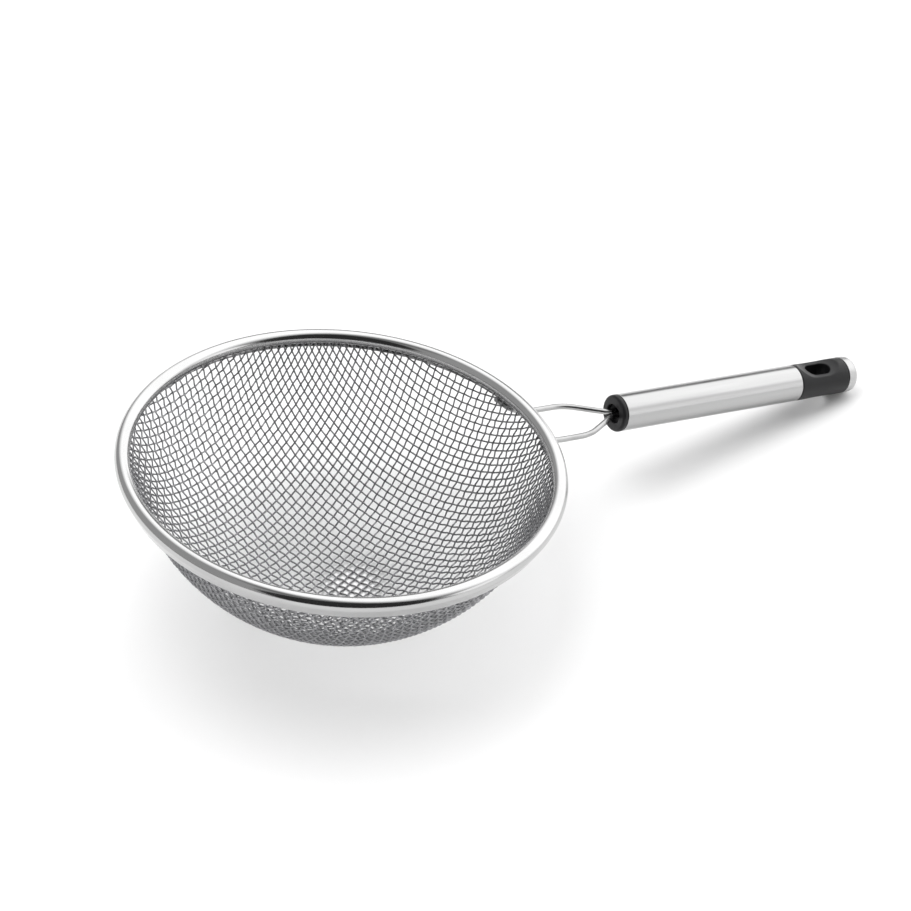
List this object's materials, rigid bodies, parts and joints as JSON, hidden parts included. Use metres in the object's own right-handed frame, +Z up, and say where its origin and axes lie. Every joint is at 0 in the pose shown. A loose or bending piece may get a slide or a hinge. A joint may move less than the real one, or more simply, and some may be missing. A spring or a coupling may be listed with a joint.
{
  "type": "mesh colander",
  "caption": "Woven steel wire bowl with a rolled rim on a two-wire neck and a steel tube handle with black ends and a hanging hole, for draining and sifting food.",
  "frame": {"origin": "on the table, under the middle of the colander's outline as it lies on its bowl and handle end", "axes": "+X along the handle away from the bowl, +Y to the left, +Z up"},
  "size_m": [0.3932, 0.205, 0.0929],
  "materials": {
    "woven_steel": "drawn stainless wire, plain weave",
    "polished_steel": "polished stainless sheet",
    "wire_steel": "drawn stainless rod",
    "tube_steel": "fine lengthways polish",
    "end_steel": "satin",
    "black_plastic": "satin moulded"
  },
  "bodies": {
    "root": {"mesh_bowl": "woven_steel", "rim_band": "polished_steel", "rim_core_wire": "wire_steel", "neck_wire_left": "wire_steel", "neck_wire_right": "wire_steel", "front_ferrule": "black_plastic", "wire_crimp_sleeve": "wire_steel", "handle_tube": "tube_steel", "hanging_cap": "black_plastic", "end_cap": "end_steel"}
  },
  "joints": []
}
